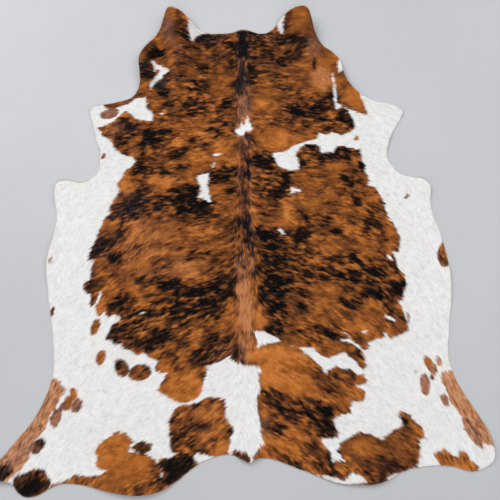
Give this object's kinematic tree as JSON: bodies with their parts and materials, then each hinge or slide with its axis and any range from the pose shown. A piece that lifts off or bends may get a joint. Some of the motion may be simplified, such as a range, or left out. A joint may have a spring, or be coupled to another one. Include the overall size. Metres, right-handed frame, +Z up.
{
  "type": "cowhide rug",
  "caption": "Flat hair-on cowhide rug with a brindle and white coat, cut to the hide's own outline, soft folds at the neck edge.",
  "frame": {"origin": "centre of the bounding box, on the surface that the rug lies on", "axes": "+Y along the spine towards the neck, +X to the right with the neck away from the viewer, +Z up out of the hair side"},
  "size_m": [2.1022, 2.3694, 0.085],
  "materials": {
    "hide": "short smooth hair lying flat, orange-brown and dark brindle patches on a white ground, cream suede underside"
  },
  "bodies": {
    "root": {"hide": "hide"}
  },
  "joints": []
}
